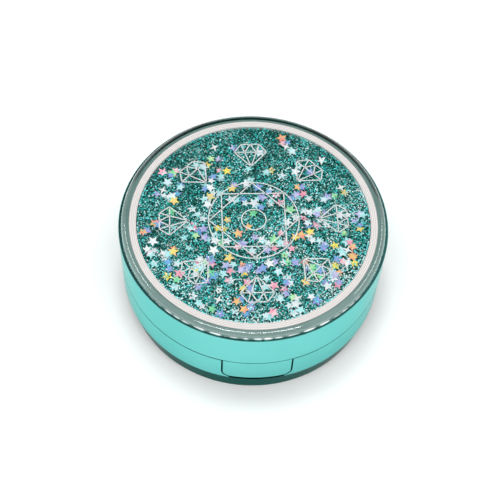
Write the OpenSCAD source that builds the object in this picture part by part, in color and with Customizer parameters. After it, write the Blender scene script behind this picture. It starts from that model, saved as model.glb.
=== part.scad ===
// Round pocket pill case: a plated two-part shell with a sprung push-button catch in front,
// a pin hinge behind, a divided lift-out tray below, and a mirror and a liquid-glitter
// capsule in the lid.
// Millimetres. Origin at the middle of the underside, +Z up, button towards -Y, hinge towards +Y.

/* [Case] */
// Outer diameter of the case
case_d = 72; // [68:1:84]
// Height of the parting line above the table
base_h = 16; // [15:0.5:17]
// Height of the plated lid wall above the parting line
lid_h = 12.4; // [12.2:0.1:13.2]
// Gap between base and lid at the parting line
parting_gap = 0.35; // [0.25:0.05:0.4]
// Thickness of the plated walls
shell_wall = 1.6; // [1.4:0.1:2]
// Thickness of the base floor
floor_t = 1.6; // [1.2:0.1:2]
// Radius inside the base, between its wall and its floor
floor_round = 4.5; // [4:0.1:4.8]
// Height of the tapered foot
foot_h = 6.9; // [6.5:0.1:7]
// How far the foot tapers in
foot_in = 1.3; // [1:0.1:1.6]
// Depth of the recess inside the standing ring
foot_recess = 0.4; // [0.2:0.1:0.6]
// Width of the standing ring
foot_ring_w = 3.5; // [2:0.5:5]
// Width of the bevel on the edges along the parting line and under the foot
edge_bevel = 0.1; // [0.05:0.05:0.2]

/* [Tray] */
// Number of compartments
compartments = 7; // [4:1:8]
// Space between the well of the tray and the shell, for the catch
catch_space = 5.4; // [5.3:0.1:6.5]
// Thickness of the liner's deck and well wall
liner_wall = 1; // [0.8:0.1:1.2]
// Depth of the deck below the edge of the base
deck_drop = 0.25; // [0.1:0.05:0.5]
// Thickness of the tray's wall and floor
tray_wall = 1; // [0.8:0.1:1.4]
// Radius along the floor of the tray, so that pills slide out
tray_round = 2; // [1:0.25:3]
// Height of the tray above the parting line
tray_rise = 3.7; // [2:0.1:3.8]
// Clearance round the tray in its well
tray_gap = 0.3; // [0.2:0.05:0.5]
// Thickness of the divider's blades
blade_t = 1; // [0.8:0.1:1.4]
// Radius of the divider's hub
hub_r = 3; // [2.5:0.25:4]

/* [Push-button] */
// Width of the button's face
button_w = 18; // [16:0.5:20]
// Height of the wall left below the button's window
sill_h = 7.3; // [7.1:0.1:7.8]
// Radius of the lower corners of the button
button_corner = 2; // [1:0.25:2.5]
// Gap round the button in its window
button_gap = 0.45; // [0.3:0.05:0.5]
// How far the button goes in
button_travel = 1.2; // [1.1:0.05:1.3]
// Thickness of the button's face at its top edge
button_t = 1.4; // [1:0.1:1.6]
// Thickness of the retaining flange behind the button
flange_t = 1; // [0.8:0.1:1.2]
// How far the flange reaches past the window
flange_reach = 1.2; // [0.8:0.1:1.6]

/* [Catch] */
// Width of the lid's hook
hook_w = 7; // [5:0.5:8]
// Thickness of the hook's stem
hook_t = 1.1; // [0.9:0.1:1.2]
// How far the barb stands out from the stem
barb_reach = 0.9; // [0.8:0.05:0.95]
// Height of the barb
barb_h = 1; // [0.8:0.1:1.2]
// Height and depth of the catch bar behind the button
bar_size = 1.2; // [1:0.1:1.3]
// Width of the arms that carry the catch bar
arm_w = 1.6; // [1.2:0.1:2]
// Clearance between hook, bar and slot
catch_gap = 0.2; // [0.15:0.05:0.25]
// Coil diameter of the button's springs, over the wire
spring_d = 2.7; // [2.2:0.1:3]
// Wire diameter of the springs
spring_wire = 0.3; // [0.25:0.05:0.35]
// Length of a spring with the button out
spring_l = 3; // [2.9:0.1:3.2]
// Turns of a spring
spring_turns = 3.5; // [2:0.5:3.5]
// Distance of the springs from the middle
spring_x = 7; // [6.5:0.25:7.5]

/* [Hinge] */
// Diameter of the hinge pin
pin_d = 1.2; // [1:0.1:1.6]
// Radial clearance of the pin in the lid's knuckle
pin_gap = 0.05; // [0.02:0.01:0.08]
// Radial clearance of the pin in the base's bosses
pin_press = 0.02; // [0.01:0.01:0.05]
// Depth of the hinge axis inside the outer wall
hinge_inset = 1.8; // [1.7:0.05:1.9]
// Depth of the hinge axis below the parting line
hinge_drop = 3.4; // [3.3:0.05:3.6]
// Radius of the knuckle
knuckle_r = 3.9; // [3.8:0.05:4.1]
// Length of the knuckle
knuckle_w = 11; // [8:0.5:14]
// Clearance round the knuckle
knuckle_gap = 0.2; // [0.15:0.05:0.3]
// Length of each hinge boss
boss_w = 2.6; // [2:0.1:3]
// Radius of the hinge bosses
boss_r = 1.6; // [1.4:0.1:1.8]

/* [Lid] */
// Thickness of the lid wall round the capsule
rim_w = 1.15; // [1.1:0.05:1.4]
// Width of the lid wall's brim outside the clear cover
brim_w = 0.6; // [0.5:0.05:0.65]
// Width of the bevel on the brim
brim_bevel = 0.1; // [0.05:0.05:0.15]
// Width of the groove between that brim and the clear cover
groove_w = 0.2; // [0.15:0.05:0.25]
// Depth of the groove that the cover's edge stands in
groove_h = 0.6; // [0.4:0.1:0.8]
// Thickness of the deck across the lid
deck_t = 1.4; // [1:0.1:1.6]
// Thickness of the mirror
mirror_t = 1.4; // [1:0.1:1.8]
// Thickness of the tape behind the mirror
mirror_tape_t = 0.4; // [0.2:0.1:0.6]
// Height of the lip that holds the mirror
lip_h = 0.8; // [0.6:0.1:1]
// Overlap of the lip on the mirror
lip_reach = 1; // [0.6:0.1:1.4]
// Width of the mirror's frame beside the mirror
frame_w = 4.7; // [4:0.1:5.5]
// Width of the frame at its lower edge, where the bezel flares out
frame_foot_w = 3.6; // [3:0.1:3.8]
// Clearance of the inner frames and the cover in the shells
seat_gap = 0.15; // [0.1:0.05:0.2]

/* [Capsule] */
// Height of the clear cover above the lid wall
cover_proud = 1.8; // [1.6:0.1:2.2]
// Thickness of the top of the clear cover
cover_t = 1.4; // [1.2:0.1:1.8]
// Thickness of the side wall of the clear cover
cover_wall = 1.5; // [1.2:0.1:2]
// Radius of the cover's shoulder
shoulder_round = 1.4; // [1:0.1:1.4]
// Depth of the liquid
liquid_depth = 2.2; // [1.6:0.1:3]
// Width of the pale ring round the liquid
spacer_w = 1.85; // [1:0.05:2.5]
// Thickness of the glitter bed
film_t = 0.2; // [0.1:0.05:0.4]
// Thickness of the plate that closes the capsule from below
back_t = 1.8; // [1.2:0.1:2.2]
// Thickness of the tape under the capsule
capsule_tape_t = 0.6; // [0.4:0.1:1]
// Diameter of the stopper in the filling hole
plug_d = 2.4; // [1.6:0.2:4]
// Distance of the filling hole from the edge of its plate
plug_inset = 8.3; // [5:0.1:12]
// Clearance of the capsule's pieces in each other
capsule_gap = 0.1; // [0.05:0.05:0.2]

/* [Decoration] */
// Number of star sequins
sequins = 72; // [20:1:90]
// Point radius of the smallest stars
sequin_small = 1.2; // [0.8:0.1:1.4]
// Point radius of the largest stars
sequin_large = 1.65; // [1.5:0.05:2]
// Thickness of a star
sequin_t = 0.15; // [0.1:0.05:0.25]
// Distance of the stars from the edge of the pool
sequin_margin = 0.4; // [0.2:0.1:1]
// Width of the printed lines
line_w = 0.35; // [0.2:0.05:0.6]
// Thickness of the print
print_t = 0.08; // [0.05:0.01:0.15]
// Number of gems in the printed garland
gems = 8; // [5:1:9]
// Width of a gem
gem_w = 9; // [6:0.5:11]
// Height of a gem
gem_h = 7.6; // [5:0.2:9]
// Distance of the gems' girdles from the edge of the pool
gem_inset = 8.8; // [7:0.1:10]
// Distance of the sparkles between the gems from the edge of the pool
sparkle_inset = 5; // [3:0.1:7]
// Length of a sparkle from its middle to a point
sparkle_r = 1.5; // [0.8:0.1:2]
// Radius of the ring round the middle star
medal_r = 12.2; // [9:0.1:13]
// Radius of the small ring in the middle
eye_r = 3.4; // [2:0.1:5]

/* [Hidden] */
$fn = 96;

mint = "#82d7ce";
white_plastic = "#f2f4f2";
pale_mint = "#d8f0ec";
steel = "#b9bec4";
clear_grey = [0.85, 0.95, 0.94, 0.35];
teal_glitter = "#1f6b5f";
silver = "#e6eaec";
sequin_pink = "#f3c9d6";

// Plan sizes, from the outside in
case_r = case_d / 2;
shell_in_r = case_r - shell_wall;
well_out_r = shell_in_r - catch_space;
well_in_r = well_out_r - liner_wall;
tray_r = well_in_r - tray_gap;
tray_in_r = tray_r - tray_wall;
foot_r = case_r - foot_in;
groove_r = case_r - brim_w;
cover_rim_r = groove_r - groove_w;
cover_seat_r = case_r - rim_w;
cover_r = cover_seat_r - seat_gap;
capsule_r = cover_r - cover_wall - capsule_gap;
liquid_r = capsule_r - spacer_w;
film_r = liquid_r - capsule_gap;
frame_out_r = shell_in_r - seat_gap;
mirror_r = frame_out_r - frame_w - seat_gap;
lip_r = mirror_r - lip_reach;

// Heights of the base
base_top = base_h - parting_gap / 2;
floor_top = foot_recess + floor_t;
deck_top = base_top - deck_drop;
deck_under = deck_top - liner_wall;
tray_floor = floor_top + tray_wall;
tray_top = base_h + tray_rise;
blade_top = tray_top - tray_wall / 2;

// Heights of the lid, from the top down
lid_bottom = base_h + parting_gap / 2;
lid_top = base_h + lid_h;
groove_floor = lid_top - groove_h;
cover_top = lid_top + cover_proud;
liquid_top = cover_top - cover_t;
film_top = liquid_top - liquid_depth;
back_top = film_top - film_t;
back_bottom = back_top - back_t;
lid_deck_top = back_bottom - capsule_tape_t;
lid_deck_under = lid_deck_top - deck_t;
mirror_back = lid_deck_under - mirror_tape_t;
mirror_face = mirror_back - mirror_t;
lip_bottom = mirror_face - lip_h;
frame_bottom = lid_bottom + parting_gap;

// Hinge
hinge_y = case_r - hinge_inset;
hinge_z = base_h - hinge_drop;
relief_r = knuckle_r + knuckle_gap;
relief_w = knuckle_w + 2 * knuckle_gap;
boss_end = relief_w / 2 + boss_w;
pin_l = 2 * (boss_end - knuckle_gap);
knuckle_flush = 0.1;
neck_in = hinge_y - knuckle_r + liner_wall;
neck_top = lid_bottom + 2 * knuckle_r - hinge_drop;

// Push-button and catch
button_bottom = sill_h + button_gap;
flange_out_r = shell_in_r - seat_gap;
flange_in_r = flange_out_r - flange_t;
button_in_r = case_r - button_t;
flange_top = deck_under - catch_gap;
bar_top = deck_under - 3 * catch_gap;
bar_bottom = bar_top - bar_size;
barb_top = bar_bottom - catch_gap;
barb_bottom = barb_top - barb_h;
stem_front = -(button_in_r - button_travel - 2 * catch_gap);
stem_back = stem_front + hook_t;
barb_tip = stem_back + barb_reach;
bar_front = stem_back + catch_gap;
bar_back = bar_front + bar_size;
arm_in = hook_w / 2 + 3 * catch_gap;
arm_out = arm_in + arm_w;
pad_half = spring_d / 2 + 2 * catch_gap;
spring_z = button_bottom + pad_half;
pad_y = -front_y(flange_in_r, spring_x + pad_half) + catch_gap;
seat_y = pad_y + spring_l;
flange_half = button_w / 2 + button_gap + flange_reach;
arm_root_y = -front_y(flange_out_r, arm_out);
button_room_y = -front_y(button_in_r, button_w / 2) + button_travel + catch_gap;
coil_r = (spring_d - spring_wire) / 2;
spring_rest = spring_wire / 2 + 0.05;
coil_rings = 12;
coil_sides = 6;

// Capsule and decoration
plug_y = capsule_r - plug_inset;
golden_angle = 180 * (3 - sqrt(5));
sequin_reach = film_r - sequin_large - sequin_margin;
sequin_sizes = 5;
sequin_turn = 31;
sequin_waist = 0.45;
sparkle_waist = 0.28;
star_sides = 8;

// Gem, as shares of its half width and its height: outline, girdle, facets of crown and pavilion
gem_outline = [[-0.56, 0.36], [0.56, 0.36], [1, 0], [0, -0.64], [-1, 0], [-0.56, 0.36]];
gem_girdle = [[-1, 0], [1, 0]];
gem_crown = [[-0.56, 0.36], [-0.36, 0], [0, 0.36], [0.36, 0], [0.56, 0.36]];
gem_pavilion = [[-0.36, 0], [0, -0.64], [0.36, 0]];

// Overrun of cuts past the surfaces they open
over = 1;

// Depth below the middle line at which a circle of radius r stands, x away from the middle
function front_y(r, x) = sqrt(r * r - x * x);

// Waste beside a quarter round of radius r, on a convex corner at the origin (solid towards -X -Y)
module corner_waste(r) {
    difference() {
        translate([-r, -r])
            square(r + over);
        translate([-r, -r])
            circle(r);
    }
}

// Waste of a 45 degree bevel of width w on a corner at the origin
module bevel_waste(w) {
    rotate(45)
        square(w * sqrt(2), center = true);
}

// Rectangle between two radii and two heights, for revolved profiles
module band(r_in, r_out, low, high) {
    translate([r_in, low])
        square([r_out - r_in, high - low]);
}

// Disc or ring between two heights
module ring(r_in, r_out, low, high) {
    rotate_extrude()
        band(r_in, r_out, low, high);
}

// Block between two corners
module block(low, high) {
    translate(low)
        cube(high - low);
}

// Cylinder along X on the hinge axis
module hinge_rod(r, w) {
    translate([0, hinge_y, hinge_z])
        rotate([0, 90, 0])
            cylinder(r = r, h = w, center = true);
}

// Extrudes an X-Z outline from the middle towards the front
module to_front() {
    rotate([90, 0, 0])
        linear_extrude(case_r + over)
            children();
}

// Face outline of the button, square on top and round at the lower corners, grown by margin
module button_outline(margin) {
    half = button_w / 2 + margin;
    low = button_bottom - margin;
    r = button_corner + margin;
    translate([-half, low + r])
        square([2 * half, base_h - low - r]);
    translate([-half + r, low])
        square([2 * (half - r), r + over]);
    for (side = [-1, 1])
        translate([side * (half - r), low + r])
            circle(r);
}

// Plated base cup with the button's window, the hinge bosses and the bay for the knuckle
module base_shell() {
    color(mint)
        difference() {
            union() {
                rotate_extrude()
                    base_profile();
                intersection() {
                    hinge_rod(boss_r, 2 * boss_end);
                    cylinder(r = case_r - knuckle_flush, h = base_h);
                }
            }
            to_front()
                button_outline(button_gap);
            hinge_rod(relief_r, relief_w);
            hinge_rod(pin_d / 2 + pin_press, pin_l + knuckle_gap);
        }
}

module base_profile() {
    difference() {
        polygon([[0, 0], [foot_r, 0], [case_r, foot_h], [case_r, base_top], [0, base_top]]);
        difference() {
            band(0, shell_in_r, floor_top, base_h);
            translate([shell_in_r, floor_top])
                mirror([0, 1])
                    corner_waste(floor_round);
        }
        band(0, foot_r - foot_ring_w, -over, foot_recess);
        for (edge = [[foot_r, 0], [case_r, base_top]])
            translate(edge)
                bevel_waste(edge_bevel);
    }
}

// Inner frame of the base: the well of the tray, the deck round it and the spring seats
module base_liner() {
    color(white_plastic)
        difference() {
            union() {
                rotate_extrude() {
                    band(well_in_r, well_out_r, floor_top, deck_top);
                    band(well_in_r, frame_out_r, deck_under, deck_top);
                }
                for (side = [-1, 1])
                    spring_block(side, seat_y, 0);
            }
            cylinder(r = well_in_r, h = base_h);
            block([-button_w / 2 - button_gap, -case_r, deck_under - over],
                  [button_w / 2 + button_gap, button_room_y, base_h]);
            block([-hook_w / 2 - 2 * catch_gap, -case_r, deck_under - over],
                  [hook_w / 2 + 2 * catch_gap, barb_tip + 2 * catch_gap, base_h]);
            block([-boss_end - knuckle_gap, hinge_y - relief_r - knuckle_gap, deck_under - over],
                  [boss_end + knuckle_gap, case_r, base_h]);
        }
}

// Block that carries one end of a spring: its face at y, its body behind, from y_back
module spring_block(side, y, y_back) {
    block([side * spring_x - pad_half, min(y, y_back), spring_z - pad_half],
          [side * spring_x + pad_half, max(y, y_back), spring_z + pad_half]);
}

// Round lift-out cup with a swept floor
module pill_tray() {
    color(pale_mint)
        rotate_extrude()
            difference() {
                band(0, tray_r, floor_top, tray_top);
                difference() {
                    band(0, tray_in_r, tray_floor, tray_top + over);
                    translate([tray_in_r, tray_floor])
                        mirror([0, 1])
                            corner_waste(tray_round);
                }
                translate([tray_r, floor_top])
                    mirror([0, 1])
                        bevel_waste(tray_wall / 2);
            }
}

// Star insert that parts the cup into compartments
module tray_divider() {
    blade_r = tray_in_r - tray_gap / 2;
    color(pale_mint)
        intersection() {
            linear_extrude(blade_top) {
                circle(hub_r);
                for (i = [0 : compartments - 1])
                    rotate(90 + i * 360 / compartments)
                        translate([0, -blade_t / 2])
                            square([tray_r, blade_t]);
            }
            rotate_extrude()
                difference() {
                    band(0, blade_r, tray_floor, blade_top);
                    translate([blade_r, tray_floor])
                        mirror([0, 1])
                            corner_waste(tray_round);
                }
        }
}

// Steel pin of the hinge
module hinge_pin() {
    color(steel)
        hinge_rod(pin_d / 2, pin_l);
}

// Button with its retaining flange, spring pads and the yoke of the catch
module push_button() {
    color(mint)
        union() {
            difference() {
                button_body();
                intersection() {
                    block([-hook_w / 2 - 2 * catch_gap, -case_r, barb_bottom - 2 * catch_gap],
                          [hook_w / 2 + 2 * catch_gap, 0, base_h]);
                    cylinder(r = button_in_r, h = base_h);
                }
            }
            intersection() {
                for (side = [-1, 1])
                    spring_block(side, pad_y, -case_r);
                cylinder(r = flange_out_r, h = base_h);
            }
            for (side = [-1, 1])
                block([side > 0 ? arm_in : -arm_out, arm_root_y, bar_bottom],
                      [side > 0 ? arm_out : -arm_in, bar_back, bar_top]);
            difference() {
                block([-arm_out, bar_front, bar_bottom], [arm_out, bar_back, bar_top]);
                translate([0, bar_front, bar_top])
                    rotate([45, 0, 0])
                        cube([2 * case_r, barb_reach, barb_reach], center = true);
            }
        }
}

// Face of the button and the flange that retains it, before the pocket for the hook is cut
module button_body() {
    intersection() {
        to_front()
            button_outline(0);
        rotate_extrude() {
            band(button_in_r, case_r, 0, base_h);
            band(flange_in_r, case_r - button_t / 2, 0, flange_top);
        }
    }
    intersection() {
        to_front()
            translate([-flange_half, button_bottom - button_gap - flange_reach])
                square([2 * flange_half, flange_top - button_bottom + button_gap + flange_reach]);
        ring(flange_in_r, flange_out_r, 0, base_h);
    }
}

// Two coil springs that push the button out
module button_springs() {
    color(steel)
        for (side = [-1, 1])
            coil([side * spring_x, pad_y + spring_rest, spring_z]);
}

// Tube along a helix, its axis along +Y from start
module coil(start) {
    rings = ceil(spring_turns * coil_rings);
    points = [for (i = [0 : rings]) each coil_ring(start, i / rings)];
    sides = [for (i = [0 : rings - 1], k = [0 : coil_sides - 1])
             let (a = i * coil_sides + k, b = i * coil_sides + (k + 1) % coil_sides)
             each [[a, b, b + coil_sides], [a, b + coil_sides, a + coil_sides]]];
    caps = [for (k = [1 : coil_sides - 2])
            each [[0, k + 1, k],
                  [rings * coil_sides, rings * coil_sides + k, rings * coil_sides + k + 1]]];
    polyhedron(points, concat(sides, caps));
}

// Points of one ring of the tube, t from 0 at the button to 1 at the base
function coil_ring(start, t) =
    let (turn = 360 * spring_turns * t,
         rise = t * (spring_l - 2 * spring_rest))
    [for (k = [0 : coil_sides - 1])
     let (a = 360 * k / coil_sides,
          r = coil_r + spring_wire / 2 * cos(a))
     [start.x + r * cos(turn), start.y + rise + spring_wire / 2 * sin(a), start.z + r * sin(turn)]];

// Plated lid ring with its deck, the hinge knuckle and the neck that carries it
module lid_shell() {
    color(mint)
        difference() {
            union() {
                rotate_extrude()
                    lid_profile();
                intersection() {
                    union() {
                        hinge_rod(knuckle_r, knuckle_w);
                        block([-knuckle_w / 2, neck_in, lid_bottom], [knuckle_w / 2, case_r, neck_top]);
                    }
                    cylinder(r = case_r - knuckle_flush, h = lid_top);
                }
            }
            hinge_rod(pin_d / 2 + pin_gap, knuckle_w + over);
        }
}

module lid_profile() {
    difference() {
        band(0, case_r, lid_bottom, lid_top);
        band(0, cover_seat_r, lid_deck_top, lid_top + over);
        band(0, groove_r, groove_floor, lid_top + over);
        band(0, shell_in_r, lid_bottom - over, lid_deck_under);
        translate([case_r, lid_top])
            bevel_waste(brim_bevel);
        translate([case_r, lid_bottom])
            bevel_waste(edge_bevel);
    }
}

// Inner frame of the lid: bezel and lip of the mirror, and the hook of the catch
module lid_liner() {
    color(white_plastic)
        union() {
            difference() {
                rotate_extrude()
                    difference() {
                        polygon([[lip_r, lip_bottom], [frame_out_r - frame_foot_w, frame_bottom],
                                 [frame_out_r, frame_bottom], [frame_out_r, lid_deck_under],
                                 [lip_r, lid_deck_under]]);
                        band(0, mirror_r + seat_gap, mirror_face, lid_deck_under + over);
                    }
                block([-knuckle_w / 2 - 2 * knuckle_gap, neck_in - 2 * knuckle_gap, frame_bottom - over],
                      [knuckle_w / 2 + 2 * knuckle_gap, case_r, neck_top + knuckle_gap]);
            }
            translate([-hook_w / 2, 0, 0])
                rotate([90, 0, 90])
                    linear_extrude(hook_w)
                        polygon([[stem_front, frame_bottom + barb_h], [stem_front, barb_bottom],
                                 [stem_back, barb_bottom], [barb_tip, barb_top - barb_h / 3],
                                 [barb_tip, barb_top], [stem_back, barb_top],
                                 [stem_back, frame_bottom + barb_h]]);
        }
}

// Round mirror in the lid
module mirror_glass() {
    color("lightsteelblue")
        ring(0, mirror_r, mirror_face, mirror_back);
}

// Tape that holds the mirror to the lid's deck
module mirror_tape() {
    color(white_plastic)
        ring(0, lip_r, mirror_back, lid_deck_under);
}

// Tape that holds the capsule on the lid's deck
module capsule_tape() {
    color(white_plastic)
        ring(0, cover_r, lid_deck_top, back_bottom);
}

// Plate that closes the capsule from below, with its filling hole
module back_plate() {
    color(clear_grey)
        difference() {
            ring(0, capsule_r, back_bottom, back_top);
            translate([0, plug_y, back_bottom - over])
                cylinder(d = plug_d + 2 * capsule_gap, h = back_t + 2 * over);
        }
}

// Stopper of the filling hole
module fill_plug() {
    color(white_plastic)
        translate([0, plug_y, back_bottom])
            cylinder(d = plug_d, h = back_t);
}

// Bed of teal glitter under the liquid
module glitter_film() {
    color(teal_glitter)
        ring(0, film_r, back_top, film_top);
}

// Silver line print under the cover: a garland of gems and sparkles round an eight-pointed star
module line_print() {
    color(silver)
        translate([0, 0, liquid_top - print_t])
            linear_extrude(print_t) {
                line_ring(medal_r);
                line_ring(eye_r);
                for (i = [0 : star_sides - 1])
                    rotate(i * 360 / star_sides)
                        stroke([0, medal_r - line_w], (medal_r - line_w) * [1, 0]);
                for (i = [0 : gems - 1]) {
                    rotate(i * 360 / gems)
                        translate([0, film_r - gem_inset])
                            gem();
                    rotate((i + 0.5) * 360 / gems)
                        translate([0, film_r - sparkle_inset])
                            polygon(star_points(4, sparkle_r, sparkle_r * sparkle_waist, 0));
                }
            }
}

// One gem in lines, its girdle at the origin and its table towards +Y
module gem() {
    for (line = [gem_outline, gem_girdle, gem_crown, gem_pavilion])
        for (i = [1 : len(line) - 1])
            stroke(gem_point(line[i - 1]), gem_point(line[i]));
}

function gem_point(p) = [p.x * gem_w / 2, p.y * gem_h];

// Straight printed line between two points
module stroke(from, to) {
    run = to - from;
    translate(from)
        rotate(atan2(run.y, run.x))
            translate([-line_w / 2, -line_w / 2])
                square([norm(run) + line_w, line_w]);
}

module line_ring(r) {
    difference() {
        circle(r);
        circle(r - line_w);
    }
}

// Corners of a star, turned by spin
function star_points(n, r_out, r_in, spin) =
    [for (i = [0 : 2 * n - 1])
     let (r = i % 2 == 0 ? r_out : r_in, a = 90 + spin + 180 * i / n)
     [r * cos(a), r * sin(a)]];

// Star sequins that have settled on the glitter, spread over the pool by the golden angle
module star_sequins() {
    color(sequin_pink)
        for (i = [0 : sequins - 1])
            let (r = sequin_reach * sqrt((i + 0.5) / sequins),
                 share = (i % sequin_sizes) / (sequin_sizes - 1),
                 size = sequin_small + (sequin_large - sequin_small) * share)
                rotate([0, 0, i * golden_angle])
                    translate([r, 0, film_top])
                        linear_extrude(sequin_t)
                            polygon(star_points(5, size, size * sequin_waist, i * sequin_turn));
}

// The liquid over the sequins
module glitter_fluid() {
    color(clear_grey)
        ring(0, film_r, film_top + sequin_t, liquid_top - print_t);
}

// Pale ring round the liquid
module spacer_ring() {
    color(white_plastic)
        ring(liquid_r, capsule_r, back_top, liquid_top);
}

// Raised clear cover with a round shoulder: its skirt stands in the lid, its edge in the lid's groove
module clear_cover() {
    color(clear_grey)
        rotate_extrude()
            difference() {
                union() {
                    band(0, cover_r, back_bottom, cover_top);
                    band(0, cover_rim_r, groove_floor + capsule_gap, cover_top);
                }
                band(0, capsule_r + capsule_gap, back_bottom - over, liquid_top);
                translate([cover_rim_r, cover_top])
                    corner_waste(shoulder_round);
            }
}

base_shell();
base_liner();
pill_tray();
tray_divider();
hinge_pin();
push_button();
button_springs();
lid_shell();
lid_liner();
mirror_glass();  // mirror
mirror_tape();
capsule_tape();
back_plate();
fill_plug();
glitter_film();
line_print();
star_sequins();
glitter_fluid();
spacer_ring();
clear_cover();
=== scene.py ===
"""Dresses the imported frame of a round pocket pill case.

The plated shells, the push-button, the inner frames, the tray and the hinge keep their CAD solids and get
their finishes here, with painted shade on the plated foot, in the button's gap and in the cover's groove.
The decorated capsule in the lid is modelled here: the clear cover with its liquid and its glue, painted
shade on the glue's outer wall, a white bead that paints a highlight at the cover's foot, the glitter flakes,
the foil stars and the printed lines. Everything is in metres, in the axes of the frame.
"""

from __future__ import annotations

import logging
import math
import random
from collections.abc import Callable, Sequence
from dataclasses import dataclass, field
from enum import Enum

import bpy
import numpy as np
from mathutils import Euler, Matrix, Vector

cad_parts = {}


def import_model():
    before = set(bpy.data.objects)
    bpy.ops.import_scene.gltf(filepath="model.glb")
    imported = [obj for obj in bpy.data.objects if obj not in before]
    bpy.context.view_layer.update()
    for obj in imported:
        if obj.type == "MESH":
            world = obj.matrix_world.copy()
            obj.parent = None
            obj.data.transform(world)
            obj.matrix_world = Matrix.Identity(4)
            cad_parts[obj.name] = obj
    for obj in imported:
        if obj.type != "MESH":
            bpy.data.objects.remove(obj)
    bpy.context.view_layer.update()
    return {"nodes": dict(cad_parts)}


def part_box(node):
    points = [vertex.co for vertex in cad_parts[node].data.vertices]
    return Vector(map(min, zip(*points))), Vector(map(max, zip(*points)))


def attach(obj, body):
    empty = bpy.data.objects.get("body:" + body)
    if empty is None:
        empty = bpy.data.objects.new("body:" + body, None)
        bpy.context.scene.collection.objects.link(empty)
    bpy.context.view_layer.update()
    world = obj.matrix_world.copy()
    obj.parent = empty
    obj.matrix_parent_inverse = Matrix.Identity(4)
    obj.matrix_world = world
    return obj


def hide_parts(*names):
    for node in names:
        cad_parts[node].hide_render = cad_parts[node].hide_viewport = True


LOG = logging.getLogger("pill_case")
MM = 0.001
SMOOTH_ANGLE = math.radians(35.0)
# Distance between two rings of Blender's wave texture at scale 1
RING_PERIOD = math.tau / 20.0

Point = tuple[float, float]


class Body(Enum):
    """Bodies of the frame that new pieces ride on. All of them belong to the lid's capsule."""

    LID = "lid"


def linear(colour: str) -> tuple[float, float, float, float]:
    """Turns an sRGB hex value to linear light.

    Args:
        colour: The colour as "#rrggbb".

    Returns:
        The linear red, green and blue, and full alpha.
    """
    shares = [int(colour[i : i + 2], 16) / 255 for i in (1, 3, 5)]
    red, green, blue = (s / 12.92 if s <= 0.04045 else ((s + 0.055) / 1.055) ** 2.4 for s in shares)
    return red, green, blue, 1.0


def per_mm(size: float) -> float:
    """Gives the texture scale at which one feature measures size millimetres."""
    return 1.0 / (size * MM)


def add_node(
    tree: bpy.types.NodeTree,
    kind: str,
    inputs: dict | None = None,
    stops: Sequence[tuple[float, str]] = (),
    **settings: object,
) -> bpy.types.Node:
    """Adds a node with its settings, its input values and its links.

    Args:
        tree: The node tree that gets the node.
        kind: Blender's name of the node type.
        inputs: Input names or numbers, each with a value, a socket, or a node whose first output is linked.
        stops: Places and hex colours of a colour ramp's stops.
        settings: Properties of the node itself.

    Returns:
        The new node.
    """
    node = tree.nodes.new(kind)
    for key, value in settings.items():
        setattr(node, key, value)
    for key, value in (inputs or {}).items():
        if isinstance(value, bpy.types.Node):
            value = value.outputs[0]
        if isinstance(value, bpy.types.NodeSocket):
            tree.links.new(value, node.inputs[key])
        else:
            node.inputs[key].default_value = value
    for i, (place, colour) in enumerate(stops):
        stop = node.color_ramp.elements[i] if i < 2 else node.color_ramp.elements.new(place)
        stop.position = place
        stop.color = linear(colour)
    return node


def object_place(tree: bpy.types.NodeTree) -> bpy.types.NodeSocket:
    """Gives each point's place in the axes of its own piece."""
    return add_node(tree, "ShaderNodeTexCoord").outputs["Object"]


def noise(
    tree: bpy.types.NodeTree, place: bpy.types.NodeSocket | bpy.types.Node, size: float, detail: float
) -> bpy.types.Node:
    """Adds a noise of a real size.

    Args:
        tree: The node tree that gets the node.
        place: The points that it is read at.
        size: The size of its features, in millimetres.
        detail: How many finer layers it has.

    Returns:
        The noise, with its level as the first output.
    """
    return add_node(tree, "ShaderNodeTexNoise", {"Vector": place, "Scale": per_mm(size), "Detail": detail})


def between(
    tree: bpy.types.NodeTree, level: bpy.types.NodeSocket | bpy.types.Node, low: float, high: float
) -> bpy.types.Node:
    """Spreads a level of 0 to 1 over a range.

    Args:
        tree: The node tree that gets the node.
        level: The level.
        low: What 0 turns to.
        high: What 1 turns to.

    Returns:
        The node that gives the new value.
    """
    return add_node(tree, "ShaderNodeMapRange", {"Value": level, "To Min": low, "To Max": high})


@dataclass(frozen=True)
class Finish:
    """A named finish. Each kind of finish wires its own nodes."""

    name: str

    def make(self) -> bpy.types.Material:
        """Builds the material.

        Returns:
            The material, with the finish's shader on its surface.
        """
        material = bpy.data.materials.new(self.name)
        material.use_nodes = True
        tree = material.node_tree
        tree.nodes.clear()
        shader = self.wire(tree)
        add_node(tree, "ShaderNodeOutputMaterial", {"Surface": shader})
        return material

    def wire(self, tree: bpy.types.NodeTree) -> bpy.types.Node:
        """Wires the finish's nodes.

        Args:
            tree: The material's empty node tree.

        Returns:
            The shader.
        """
        raise NotImplementedError


@dataclass(frozen=True)
class ShadeZone:
    """A zone of a plated piece whose tone is darkened as painted shade: the points that keep to all its
    limits.

    The limits are in metres: below and above bound the height, inside the distance from the case's axis,
    half_width the distance from the middle plane, and before the place along Y. The edge is the tint of what
    the zone mirrors at a glancing angle.
    """

    colour: str
    edge: str
    below: float | None = None
    above: float | None = None
    inside: float | None = None
    half_width: float | None = None
    before: float | None = None


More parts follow.
